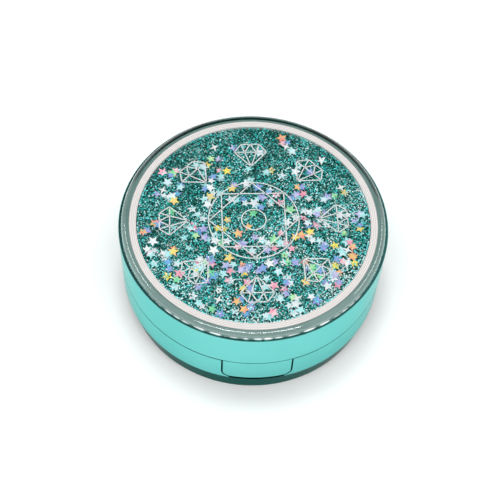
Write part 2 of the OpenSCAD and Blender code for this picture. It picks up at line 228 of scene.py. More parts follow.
@dataclass(frozen=True)
class PlatedAbs(Finish):
    """Electroplated ABS under a tinted lacquer.

    The plating is bright metal, and the sprayed lacquer over it gives the colour, clouds it a little and
    leaves a faint orange peel. Its zones darken the tone as painted shade: on the foot, in narrow gaps and
    in the cover's groove.
    """

    colour: str
    deep: str
    zones: tuple[ShadeZone, ...] = ()
    edge: str = "#c6eeeb"
    cloud_mm: float = 16.0
    peel_mm: float = 1.1
    peel_strength: float = 0.05
    peel_depth: float = 0.02 * MM
    smooth: float = 0.17
    rough: float = 0.27

    def wire(self, tree: bpy.types.NodeTree) -> bpy.types.Node:
        """Wires the finish's nodes and returns its shader."""
        place = object_place(tree)
        cloud = noise(tree, place, self.cloud_mm, 3.0)
        tint = add_node(tree, "ShaderNodeValToRGB", {"Fac": cloud},
                        stops=((0.3, self.colour), (0.75, self.deep))).outputs["Color"]
        plain = add_node(tree, "ShaderNodeRGB")
        plain.outputs["Color"].default_value = linear(self.edge)
        edge = plain.outputs["Color"]
        for zone in self.zones:
            share = self.share(tree, place, zone)
            tint = add_node(tree, "ShaderNodeMix", {0: share, 6: tint, 7: linear(zone.colour)},
                            data_type="RGBA").outputs[2]
            edge = add_node(tree, "ShaderNodeMix", {0: share, 6: edge, 7: linear(zone.edge)},
                            data_type="RGBA").outputs[2]
        gloss = between(tree, cloud, self.smooth, self.rough)
        peel = noise(tree, place, self.peel_mm, 2.0)
        bump = add_node(tree, "ShaderNodeBump",
                        {"Height": peel, "Strength": self.peel_strength, "Distance": self.peel_depth})
        return add_node(tree, "ShaderNodeBsdfPrincipled",
                        {"Base Color": tint, "Metallic": 1.0, "Roughness": gloss, "Normal": bump,
                         "Specular Tint": edge})

    def share(self, tree: bpy.types.NodeTree, place: bpy.types.NodeSocket, zone: ShadeZone) -> bpy.types.Node:
        """Finds whether a point is in a zone.

        Args:
            tree: The material's node tree.
            place: The point's Object coordinates.
            zone: The zone, with one limit or more.

        Returns:
            The node that gives 1 in the zone and 0 outside it.
        """
        axes = add_node(tree, "ShaderNodeSeparateXYZ", {"Vector": place})
        flat = add_node(tree, "ShaderNodeVectorMath", {0: place, 1: (1.0, 1.0, 0.0)}, operation="MULTIPLY")
        reach = add_node(tree, "ShaderNodeVectorMath", {0: flat}, operation="LENGTH")
        aside = add_node(tree, "ShaderNodeMath", {0: axes.outputs["X"]}, operation="ABSOLUTE")
        limits = (
            (axes.outputs["Z"], zone.below, "LESS_THAN"),
            (axes.outputs["Z"], zone.above, "GREATER_THAN"),
            (reach.outputs["Value"], zone.inside, "LESS_THAN"),
            (aside.outputs["Value"], zone.half_width, "LESS_THAN"),
            (axes.outputs["Y"], zone.before, "LESS_THAN"),
        )
        share = None
        for value, limit, test in limits:
            if limit is None:
                continue
            kept = add_node(tree, "ShaderNodeMath", {0: value, 1: limit}, operation=test)
            share = kept if share is None else add_node(tree, "ShaderNodeMath", {0: share, 1: kept},
                                                        operation="MULTIPLY")
        return share


@dataclass(frozen=True)
class MouldedPlastic(Finish):
    """Injection-moulded plastic with a satin mould face.

    The mould's spark-eroded face leaves a fine grain that softens the gloss, and the colour varies
    slightly where the melt cooled.
    """

    colour: str
    shade: str
    flow_mm: float = 9.0
    grain_mm: float = 0.35
    grain_strength: float = 0.12
    grain_depth: float = 0.02 * MM
    smooth: float = 0.32
    rough: float = 0.48
    ior: float = 1.52

    def wire(self, tree: bpy.types.NodeTree) -> bpy.types.Node:
        """Wires the finish's nodes and returns its shader."""
        place = object_place(tree)
        flow = noise(tree, place, self.flow_mm, 4.0)
        tint = add_node(tree, "ShaderNodeValToRGB", {"Fac": flow},
                        stops=((0.35, self.colour), (0.8, self.shade)))
        grain = noise(tree, place, self.grain_mm, 3.0)
        gloss = between(tree, grain, self.smooth, self.rough)
        bump = add_node(tree, "ShaderNodeBump",
                        {"Height": grain, "Strength": self.grain_strength, "Distance": self.grain_depth})
        return add_node(tree, "ShaderNodeBsdfPrincipled",
                        {"Base Color": tint, "Roughness": gloss, "Normal": bump, "IOR": self.ior})


@dataclass(frozen=True)
class DrawnSteel(Finish):
    """Drawn steel wire: a grey metal with fine streaks along the draw."""

    colour: str
    streak_mm: float = 0.08
    streak_squeeze: float = 0.04
    smooth: float = 0.18
    rough: float = 0.4

    def wire(self, tree: bpy.types.NodeTree) -> bpy.types.Node:
        """Wires the finish's nodes and returns its shader."""
        place = object_place(tree)
        along = add_node(tree, "ShaderNodeMapping",
                         {"Vector": place, "Scale": (self.streak_squeeze, 1.0, 1.0)})
        streak = noise(tree, along, self.streak_mm, 2.0)
        gloss = between(tree, streak, self.smooth, self.rough)
        return add_node(tree, "ShaderNodeBsdfPrincipled",
                        {"Base Color": linear(self.colour), "Metallic": 1.0, "Roughness": gloss})


@dataclass(frozen=True)
class SilveredGlass(Finish):
    """Silvered float glass: a near-perfect mirror with the faint green of the glass and a trace of haze."""

    colour: str
    haze_mm: float = 12.0
    haze: float = 0.05

    def wire(self, tree: bpy.types.NodeTree) -> bpy.types.Node:
        """Wires the finish's nodes and returns its shader."""
        place = object_place(tree)
        cloud = noise(tree, place, self.haze_mm, 5.0)
        gloss = between(tree, cloud, 0.0, self.haze)
        return add_node(tree, "ShaderNodeBsdfPrincipled",
                        {"Base Color": linear(self.colour), "Metallic": 1.0, "Roughness": gloss})


@dataclass(frozen=True)
class ClearAcrylic(Finish):
    """Polished clear acrylic: it bends what the eye sees behind it, and all other light passes straight.

    So the light reaches what is inside once, by a single way. Handling leaves a trace of haze, which only
    blurs the reflections, and a hard scratch-proof coat makes them brighter.
    """

    colour: str
    ior: float = 1.49
    coat_ior: float = 1.7
    haze_mm: float = 8.0
    haze: float = 0.01

    def wire(self, tree: bpy.types.NodeTree) -> bpy.types.Node:
        """Wires the finish's nodes and returns its shader."""
        place = object_place(tree)
        cloud = noise(tree, place, self.haze_mm, 4.0)
        gloss = between(tree, cloud, 0.0, self.haze)
        shader = add_node(tree, "ShaderNodeBsdfPrincipled",
                          {"Base Color": linear(self.colour), "Roughness": gloss, "IOR": self.ior,
                           "Transmission Weight": 1.0, "Coat Weight": 1.0, "Coat IOR": self.coat_ior})
        through = add_node(tree, "ShaderNodeBsdfTransparent")
        ray = add_node(tree, "ShaderNodeLightPath")
        return add_node(tree, "ShaderNodeMixShader",
                        {0: ray.outputs["Is Camera Ray"], 1: through, 2: shader})


@dataclass(frozen=True)
class GlitterBed(Finish):
    """Settled polyester glitter, lacquered teal on aluminium: small bright and dark flakes side by side.

    Each cell is one flake, and a wide noise darkens some places and lightens others.
    """

    flake_mm: float = 0.3
    flake_relief: float = 0.4
    flake_lift: float = 0.05 * MM
    drift_mm: float = 11.0
    drift_reach: float = 0.12
    metallic: float = 0.55
    smooth: float = 0.2
    rough: float = 0.5

    def wire(self, tree: bpy.types.NodeTree) -> bpy.types.Node:
        """Wires the finish's nodes and returns its shader."""
        place = object_place(tree)
        cells = add_node(tree, "ShaderNodeTexVoronoi",
                         {"Vector": place, "Scale": per_mm(self.flake_mm)})
        pick = add_node(tree, "ShaderNodeSeparateColor", {"Color": cells.outputs["Color"]})
        darkening = noise(tree, place, self.drift_mm, 3.0)
        lift = add_node(tree, "ShaderNodeMapRange", {"Value": darkening, "From Min": 0.3, "From Max": 0.7,
                                                     "To Min": -self.drift_reach,
                                                     "To Max": self.drift_reach})
        level = add_node(tree, "ShaderNodeMath", {0: pick.outputs["Red"], 1: lift}, operation="ADD")
        tint = add_node(tree, "ShaderNodeValToRGB", {"Fac": level},
                        stops=((0.0, "#052f2a"), (0.98, "#e0f8f8"), (0.3, "#0a554c"), (0.6, "#1b877c"),
                               (0.84, "#5cbcb6")))
        gloss = between(tree, pick.outputs["Green"], self.smooth, self.rough)
        bump = add_node(tree, "ShaderNodeBump",
                        {"Height": pick.outputs["Blue"], "Strength": self.flake_relief,
                         "Distance": self.flake_lift})
        return add_node(tree, "ShaderNodeBsdfPrincipled",
                        {"Base Color": tint, "Metallic": self.metallic, "Roughness": gloss, "Normal": bump})


@dataclass(frozen=True)
class FlakeFoil(Finish):
    """One shade of cut glitter: lacquered aluminium foil, too small for a pattern of its own."""

    colour: str
    roughness: float = 0.36
    metallic: float = 0.15

    def wire(self, tree: bpy.types.NodeTree) -> bpy.types.Node:
        """Wires the finish's nodes and returns its shader."""
        return add_node(tree, "ShaderNodeBsdfPrincipled",
                        {"Base Color": linear(self.colour), "Metallic": self.metallic,
                         "Roughness": self.roughness})


@dataclass(frozen=True)
class RainbowFoil(Finish):
    """Holographic polyester foil: pressed grooves turn its silver to one colour here and the next there."""

    colour: str
    turned: str
    groove_mm: float = 1.6
    metallic: float = 0.12
    smooth: float = 0.2
    rough: float = 0.4

    def wire(self, tree: bpy.types.NodeTree) -> bpy.types.Node:
        """Wires the finish's nodes and returns its shader."""
        place = object_place(tree)
        groove = noise(tree, place, self.groove_mm, 1.0)
        tint = add_node(tree, "ShaderNodeValToRGB", {"Fac": groove},
                        stops=((0.42, self.colour), (0.62, self.turned)))
        gloss = between(tree, groove, self.smooth, self.rough)
        return add_node(tree, "ShaderNodeBsdfPrincipled",
                        {"Base Color": tint, "Metallic": self.metallic, "Roughness": gloss})


@dataclass(frozen=True)
class TurnedRing(Finish):
    """Pearl-white moulded ring whose face shows the fine circles of its turned mould."""

    colour: str
    shade: str
    circle_mm: float = 0.5
    smooth: float = 0.3
    rough: float = 0.5

    def wire(self, tree: bpy.types.NodeTree) -> bpy.types.Node:
        """Wires the finish's nodes and returns its shader."""
        place = object_place(tree)
        circles = add_node(tree, "ShaderNodeTexWave",
                           {"Vector": place, "Scale": per_mm(self.circle_mm) * RING_PERIOD,
                            "Distortion": 1.5, "Detail": 3.0, "Detail Scale": 0.4},
                           wave_type="RINGS", rings_direction="Z")
        tint = add_node(tree, "ShaderNodeValToRGB", {"Fac": circles},
                        stops=((0.1, self.shade), (0.9, self.colour)))
        gloss = between(tree, circles, self.smooth, self.rough)
        return add_node(tree, "ShaderNodeBsdfPrincipled", {"Base Color": tint, "Roughness": gloss})


@dataclass(frozen=True)
class SilverInk(Finish):
    """Screen-printed silver ink: pale metal pigment in a binder, slightly uneven along its lines."""

    colour: str
    thin: str
    spread_mm: float = 1.3
    metallic: float = 0.12
    smooth: float = 0.3
    rough: float = 0.5

    def wire(self, tree: bpy.types.NodeTree) -> bpy.types.Node:
        """Wires the finish's nodes and returns its shader."""
        place = object_place(tree)
        spread = noise(tree, place, self.spread_mm, 3.0)
        tint = add_node(tree, "ShaderNodeValToRGB", {"Fac": spread},
                        stops=((0.3, self.colour), (0.75, self.thin)))
        gloss = between(tree, spread, self.smooth, self.rough)
        return add_node(tree, "ShaderNodeBsdfPrincipled",
                        {"Base Color": tint, "Metallic": self.metallic, "Roughness": gloss})


@dataclass(frozen=True)
class WhitePaper(Finish):
    """Matt white paper, a trace greyer where its fibres lie thin."""

    fibre_mm: float = 30.0

    def wire(self, tree: bpy.types.NodeTree) -> bpy.types.Node:
        """Wires the finish's nodes and returns its shader."""
        fibre = noise(tree, object_place(tree), self.fibre_mm, 2.0)
        tint = add_node(tree, "ShaderNodeValToRGB", {"Fac": fibre},
                        stops=((0.3, "#fdfefe"), (0.7, "#ffffff")))
        return add_node(tree, "ShaderNodeBsdfDiffuse", {"Color": tint, "Roughness": 0.0})


def start_clean() -> None:
    """Leaves edit mode and deselects everything, because the frame loads its nodes selected."""
    if bpy.context.object and bpy.context.object.mode != "OBJECT":
        bpy.ops.object.mode_set(mode="OBJECT")
    bpy.ops.object.select_all(action="DESELECT")


def pick_faces(piece: bpy.types.Object, test: Callable[[bpy.types.MeshPolygon], bool]) -> None:
    """Goes to edit mode with only the faces selected that pass the test.

    Args:
        piece: The active object.
        test: Says of a face whether it is wanted.
    """
    bpy.ops.object.mode_set(mode="EDIT")
    bpy.ops.mesh.select_mode(type="FACE")
    bpy.ops.mesh.select_all(action="DESELECT")
    bpy.ops.object.mode_set(mode="OBJECT")
    for face in piece.data.polygons:
        face.select = test(face)
    bpy.ops.object.mode_set(mode="EDIT")


def pick_edges(piece: bpy.types.Object, test: Callable[[Vector, Vector], bool]) -> None:
    """Goes to edit mode with only the edges selected that pass the test.

    Args:
        piece: The active object.
        test: Says of an edge's two ends whether the edge is wanted.
    """
    bpy.ops.object.mode_set(mode="EDIT")
    bpy.ops.mesh.select_mode(type="EDGE")
    bpy.ops.mesh.select_all(action="DESELECT")
    bpy.ops.object.mode_set(mode="OBJECT")
    points = piece.data.vertices
    for edge in piece.data.edges:
        edge.select = test(points[edge.vertices[0]].co, points[edge.vertices[1]].co)
    bpy.ops.object.mode_set(mode="EDIT")


def raise_by(height: float) -> None:
    """Extrudes the selected faces along Z.

    Args:
        height: How far they go up, or down if negative.
    """
    bpy.ops.mesh.extrude_region_move(TRANSFORM_OT_translate={"value": (0.0, 0.0, height)})


def flat_ring(name: str, radius: float, width: float, height: float, segments: int) -> bpy.types.Object:
    """Models a flat ring about the case's axis.

    Args:
        name: The name of the piece.
        radius: The ring's outer radius.
        width: The ring's width.
        height: The height that it lies at.
        segments: How many corners its edges have.

    Returns:
        The ring, with no thickness yet.
    """
    start_clean()
    bpy.ops.mesh.primitive_circle_add(vertices=segments, radius=radius, fill_type="NGON",
                                      location=(0.0, 0.0, height))
    ring = bpy.context.object
    ring.name = name
    bpy.ops.object.transform_apply(location=True, rotation=False, scale=False)
    pick_faces(ring, lambda face: True)
    bpy.ops.mesh.inset(thickness=width)
    bpy.ops.mesh.delete(type="FACE")
    bpy.ops.object.mode_set(mode="OBJECT")
    return ring


def thicken(piece: bpy.types.Object, thickness: float) -> None:
    """Gives a flat outline its thickness, upwards.

    Args:
        piece: The flat piece.
        thickness: How thick it gets.
    """
    bpy.context.view_layer.objects.active = piece
    pick_faces(piece, lambda face: True)
    raise_by(thickness)
    bpy.ops.mesh.select_all(action="SELECT")
    bpy.ops.mesh.normals_make_consistent(inside=False)
    bpy.ops.object.mode_set(mode="OBJECT")


def pinch(piece: bpy.types.Object, waist: float) -> None:
    """Draws every second corner of a flat outline inwards, which makes a star of it.

    Args:
        piece: The active object, with its middle at the origin.
        waist: The share of their distance from the middle that these corners keep.
    """
    for i, point in enumerate(piece.data.vertices):
        point.select = i % 2 == 1
    for edge in piece.data.edges:
        edge.select = False
    for face in piece.data.polygons:
        face.select = False
    bpy.ops.object.mode_set(mode="EDIT")
    bpy.ops.mesh.select_mode(type="VERT")
    bpy.ops.transform.resize(value=(waist, waist, 1.0))
    bpy.ops.object.mode_set(mode="OBJECT")


def copies(
    pattern: bpy.types.Object, name: str, places: Sequence[Matrix], slots: Sequence[int] = ()
) -> bpy.types.Object:
    """Copies a modelled pattern to each place, as one mesh, and removes the pattern.

    Args:
        pattern: The piece to copy.
        name: The name of the new piece.
        places: Where each copy goes.
        slots: The material slot of each copy, or nothing for the first slot.

    Returns:
        The new piece.
    """
    points = np.array([tuple(v.co) for v in pattern.data.vertices])
    faces = [tuple(f.vertices) for f in pattern.data.polygons]
    spots = [points @ np.array(p.to_3x3()).T + np.array(p.translation) for p in places]
    rows = [[i + k * len(points) for i in face] for k in range(len(places)) for face in faces]
    mesh = bpy.data.meshes.new(name)
    mesh.from_pydata(np.concatenate(spots).tolist(), [], rows)
    if slots:
        mesh.polygons.foreach_set("material_index", np.repeat(np.array(slots, np.int32), len(faces)))
    mesh.update()
    bpy.data.objects.remove(pattern)
    piece = bpy.data.objects.new(name, mesh)
    bpy.context.collection.objects.link(piece)
    return piece


def settle(piece: bpy.types.Object, body: Body, slot: str, *nodes: str) -> None:
    """Puts a finished piece on its body in place of the CAD nodes that it stands for.

    Args:
        piece: The finished piece.
        body: The body that it rides on.
        slot: Not used.
        nodes: The CAD nodes that it stands for.
    """
    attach(piece, body.value)
    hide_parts(*nodes)
    LOG.info("%s rides on %s: %d faces", piece.name, body.value, len(piece.data.polygons))


@dataclass
class Capsule:
    """The clear capsule on the lid: cover and liquid, glitter flakes, foil stars, printed lines and glue,
    with painted shade on the glue's outer wall and a white bead as a painted highlight.
    """

    shoulder: float = 1.4 * MM
    shoulder_steps: int = 12
    edge_sunk: float = 0.5 * MM
    seat_sunk: float = 0.9 * MM
    seat_r: float = 34.4 * MM
    seat_bevel: float = 0.1 * MM
    seat_steps: int = 3
    seat_rise: float = 1.1 * MM
    shade_wall_facing: float = 0.95
    bead_r: float = 0.26 * MM
    bead_off: float = 0.12 * MM
    bead_lift: float = 0.6
    bead_dashes: int = 64
    bead_filled: float = 0.6
    bead_reach: float = 0.75
    bead_thread: float = 0.02
    fit: float = 0.03 * MM
    segments: int = 384
    flakes: int = 13500
    rim_flakes: int = 1700
    flake_sides: int = 4
    flake_r: float = 0.2 * MM
    flake_sizes: tuple[float, float] = (0.65, 1.35)
    flake_t: float = 0.03 * MM
    flake_tilt: float = math.radians(32.0)
    flake_settling: float = 1.2
    flake_shades: tuple[tuple[str, float], ...] = (
        ("#02504c", 0.25), ("#25cbc3", 0.34), ("#72eef4", 0.26), ("#c4feff", 0.1), ("#f8ffff", 0.05),
    )
    darkening_back: float = 0.55
    darkening_left: float = 0.25
    darkening_clumps: float = 0.55
    darkening_specks: float = 0.6
    stars: int = 290
    star_r: tuple[float, float] = (1.15 * MM, 1.7 * MM)
    star_t: float = 0.08 * MM
    star_waist: float = 0.46
    star_tilt: float = math.radians(9.0)
    star_depth: float = 0.7
    star_thinning: float = 0.75
    seed: int = 11
    cover_r: float = field(init=False)
    skirt_r: float = field(init=False)
    brim_top: float = field(init=False)
    seat_top: float = field(init=False)
    cover_low: float = field(init=False)
    cover_top: float = field(init=False)
    ring_r: float = field(init=False)
    ring_top: float = field(init=False)
    pool_r: float = field(init=False)
    pool_low: float = field(init=False)
    pool_top: float = field(init=False)
    print_t: float = field(init=False)

    def __post_init__(self) -> None:
        """Reads the capsule's radii and heights from the frame."""
        low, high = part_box("clear_cover")
        self.cover_r, self.cover_low, self.cover_top = high[0], low[2], high[2]
        self.skirt_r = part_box("capsule_tape")[1][0]
        self.brim_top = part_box("lid_shell")[1][2]
        self.seat_top = self.brim_top - self.seat_sunk
        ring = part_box("spacer_ring")[1]
        self.ring_r, self.ring_top = ring[0], ring[2]
        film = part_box("glitter_film")[1]
        self.pool_r, self.pool_low = film[0], film[2]
        low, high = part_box("line_print")
        self.pool_top, self.print_t = high[2], high[2] - low[2]

    def build(self) -> None:
        """Builds the six pieces of the capsule."""
        self.build_cover()
        self.build_seat()
        self.build_bead()
        self.build_flakes()
        self.build_stars()
        PrintedLines(self.pool_r, self.pool_top, self.print_t).build()

    def build_cover(self) -> None:
        """Models the cover and the liquid under it as one clear body, with a groove for the pale ring."""
        start_clean()
        edge_low = self.brim_top - self.edge_sunk
        height = self.cover_top - edge_low
        bpy.ops.mesh.primitive_cylinder_add(vertices=self.segments, radius=self.cover_r, depth=height,
                                            location=(0.0, 0.0, edge_low + height / 2))
        cover = bpy.context.object
        cover.name = "cover_lens"
        bpy.ops.object.transform_apply(location=True, rotation=False, scale=False)
        pick_faces(cover, lambda face: face.normal.z < -0.9)
        bpy.ops.mesh.inset(thickness=self.cover_r - self.skirt_r)
        raise_by(self.seat_top - self.fit - edge_low)
        bpy.ops.mesh.inset(thickness=self.skirt_r - self.ring_r - self.fit)
        raise_by(self.ring_top + 2 * self.fit - self.seat_top)
        bpy.ops.mesh.inset(thickness=self.ring_r - self.pool_r)
        raise_by(self.pool_low - self.ring_top)
        pick_edges(cover, lambda a, b: min(a.z, b.z) > self.cover_top - self.fit)
        bpy.ops.mesh.bevel(offset=self.shoulder, segments=self.shoulder_steps, affect="EDGES")
        bpy.ops.object.mode_set(mode="OBJECT")
        bpy.ops.object.shade_smooth_by_angle(angle=SMOOTH_ANGLE)
        cover.data.materials.append(ClearAcrylic("clear_acrylic", "#fdfffe").make())
        settle(cover, Body.LID, "clear_plastic", "clear_cover")

    def build_seat(self) -> None:
        """Models the bed of glue under the cover, rising to the pale ring, with a dark finish on its outer
        wall as painted shade.
        """
        low = self.cover_low
        seat = flat_ring("glue_bed", self.seat_r, self.seat_r - self.ring_r - self.fit, low, self.segments)
        thicken(seat, self.seat_top - low)
        for point in seat.data.vertices:
            if point.co.z > self.seat_top - self.fit and point.co.xy.length < self.ring_r + 2 * self.fit:
                point.co.z += self.seat_rise
        pick_edges(seat, lambda a, b: min(a.z, b.z) > self.seat_top - self.fit
                   and min(a.xy.length, b.xy.length) > self.seat_r - self.fit)
        bpy.ops.mesh.bevel(offset=self.seat_bevel, segments=self.seat_steps, affect="EDGES")
        bpy.ops.object.mode_set(mode="OBJECT")
        bpy.ops.object.shade_smooth_by_angle(angle=SMOOTH_ANGLE)
        glue = MouldedPlastic("grey_glue", "#7b9a95", "#6a8a85", smooth=0.5, rough=0.7)
        # Painted shade: the dark green on the bed's outer wall stands for the shade in the groove beside it.
        shade_wall = MouldedPlastic("painted_shade_wall", "#3f8278", "#34736a", smooth=0.5, rough=0.7)
        seat.data.materials.append(glue.make())
        seat.data.materials.append(shade_wall.make())
        for face in seat.data.polygons:
            outwards = face.normal.xy.dot(face.center.xy.normalized())
            face.material_index = int(outwards > self.shade_wall_facing)
        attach(seat, Body.LID.value)

    def build_bead(self) -> None:
        """Models a white bead at the cover's foot that paints a highlight: dashes in front, else a thread.
        """
        start_clean()
        middle = self.cover_r + self.bead_off
        bpy.ops.mesh.primitive_torus_add(major_radius=middle, minor_radius=self.bead_r,
                                         major_segments=self.segments, minor_segments=8)
        bead = bpy.context.object
        bead.name = "highlight_bead"
        for point in bead.data.vertices:
            way = Vector((point.co.x, point.co.y, 0.0)).normalized()
            turn = math.atan2(way.x, -way.y)
            point.co = way * middle + (point.co - way * middle) * self.swell(turn)
            point.co.z += self.brim_top + self.bead_r * self.bead_lift
        bpy.ops.object.shade_smooth()
        # Painted highlight: the white bead stands for a glint along the cover's foot.
        glue = MouldedPlastic("painted_highlight_bead", "#fbfcfc", "#eef2f2", smooth=0.1, rough=0.2)
        bead.data.materials.append(glue.make())
        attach(bead, Body.LID.value)

    def swell(self, turn: float) -> float:
        """Says how thick the bead is at a place round the cover: dashes of uneven thickness, only in front,
        where the painted highlight falls.

        Args:
            turn: The angle from the front, in radians.

        Returns:
            The share of the bead's full thickness, a mere thread where the bead is broken.
        """
        thickness = 0.62 + 0.2 * math.sin(17.0 * turn + 1.0) + 0.18 * math.sin(41.0 * turn)
        dash = 0.5 + 0.5 * math.sin(self.bead_dashes * turn + 2.0 * math.sin(9.0 * turn))
        front = math.exp(-((turn / self.bead_reach) ** 4))
        thickness *= front * (dash < self.bead_filled)
        return max(thickness, self.bead_thread)

    def build_flakes(self) -> None:
        """Models one cut flake and scatters copies of it through the liquid."""
        start_clean()
        bpy.ops.mesh.primitive_circle_add(vertices=self.flake_sides, radius=self.flake_r, fill_type="NGON")
        flake = bpy.context.object
        thicken(flake, self.flake_t)
        chance = random.Random(self.seed)
        margin = self.flake_r * self.flake_sizes[1]
        low = self.pool_low + margin
        high = self.pool_top - self.print_t - margin
        places, slots = [], []
        for i in range(self.flakes + self.rim_flakes):
            at_rim = i >= self.flakes
            r = (self.pool_r - margin) * (1.0 if at_rim else math.sqrt(chance.random()))
            a = chance.uniform(0.0, math.tau)
            depth = chance.random() if at_rim else chance.random() ** self.flake_settling
            tilt = Euler((chance.gauss(0.0, self.flake_tilt / 2), chance.gauss(0.0, self.flake_tilt / 2),
                          chance.uniform(0.0, math.tau)))
            spot = Vector((r * math.cos(a), r * math.sin(a), low + (high - low) * depth))
            places.append(Matrix.LocRotScale(spot, tilt, Vector.Fill(3, chance.uniform(*self.flake_sizes))))
            dim = self.darkening(spot)
            weights = [weight * math.exp(-dim * k) for k, (_, weight) in enumerate(self.flake_shades)]
            slots.append(chance.choices(range(len(weights)), weights)[0])
        flakes = copies(flake, "glitter_flakes", places, slots)
        for i, (colour, _) in enumerate(self.flake_shades):
            flakes.data.materials.append(FlakeFoil(f"flake_foil_{i + 1}", colour).make())
        settle(flakes, Body.LID, "liquid", "glitter_fluid")

    def darkening(self, spot: Vector) -> float:
        """Says how much darker the glitter's shades are picked at a spot, most at the back left.

        Waves across the pool, wide ones and short ones, break this darkening up into clumps.

        Args:
            spot: A place in the liquid.

        Returns:
            The share by which each lighter shade gets rarer, negative where it gets more common.
        """
        x, y = spot.x / self.pool_r, spot.y / self.pool_r
        wide = math.sin(7.0 * x + 2.0 * y + 1.0) * math.sin(6.0 * y - 3.0 * x)
        clumps = wide + self.darkening_specks * math.sin(15.0 * x - 11.0 * y)
        return self.darkening_back * y - self.darkening_left * x + self.darkening_clumps * clumps

    def build_stars(self) -> None:
        """Models one foil star and scatters copies of it, fewer towards the hinge."""
        start_clean()
        bpy.ops.mesh.primitive_circle_add(vertices=10, radius=1.0, fill_type="NGON")
        star = bpy.context.object
        pinch(star, self.star_waist)
        thicken(star, 2 * self.star_t / sum(self.star_r))
        foils = (
            (RainbowFoil("star_foil_silver", "#f8fcfd", "#dfecf2"), 0.22),
            (RainbowFoil("star_foil_ice", "#b0eef0", "#dcf4fa"), 0.2),
            (RainbowFoil("star_foil_lavender", "#a9aee4", "#cfcdf0"), 0.17),
            (RainbowFoil("star_foil_blue", "#74b3e4", "#a3a6e6"), 0.11),
            (RainbowFoil("star_foil_yellow", "#fbec6e", "#fbd896"), 0.08),
            (RainbowFoil("star_foil_coral", "#fba592", "#f9cc86"), 0.07),
            (RainbowFoil("star_foil_pink", "#f8a6bd", "#fbd3dc"), 0.09),
            (RainbowFoil("star_foil_green", "#7fe0a6", "#c9f0b4"), 0.06),
        )
        chance = random.Random(self.seed + 1)
        low = self.pool_low + self.star_r[1] * math.sin(self.star_tilt)
        high = self.pool_top - self.print_t - self.star_r[1] * math.sin(self.star_tilt)
        places, slots = [], []
        while len(places) < self.stars:
            r = (self.pool_r - self.star_r[1]) * math.sqrt(chance.random())
            a = chance.uniform(0.0, math.tau)
            back = max(0.0, r * math.sin(a) / self.pool_r)
            if chance.random() < self.star_thinning * back:
                continue
            tilt = Euler((chance.gauss(0.0, self.star_tilt / 2), chance.gauss(0.0, self.star_tilt / 2),
                          chance.uniform(0.0, math.tau)))
            sunk = (high - low) * self.star_depth * chance.random()
            spot = Vector((r * math.cos(a), r * math.sin(a), high - sunk))
            places.append(Matrix.LocRotScale(spot, tilt, Vector.Fill(3, chance.uniform(*self.star_r))))
            slots.append(chance.choices(range(len(foils)), [weight for _, weight in foils])[0])
        stars = copies(star, "foil_stars", places, slots)
        for foil, _ in foils:
            stars.data.materials.append(foil.make())
        settle(stars, Body.LID, "sequin_foil", "star_sequins")


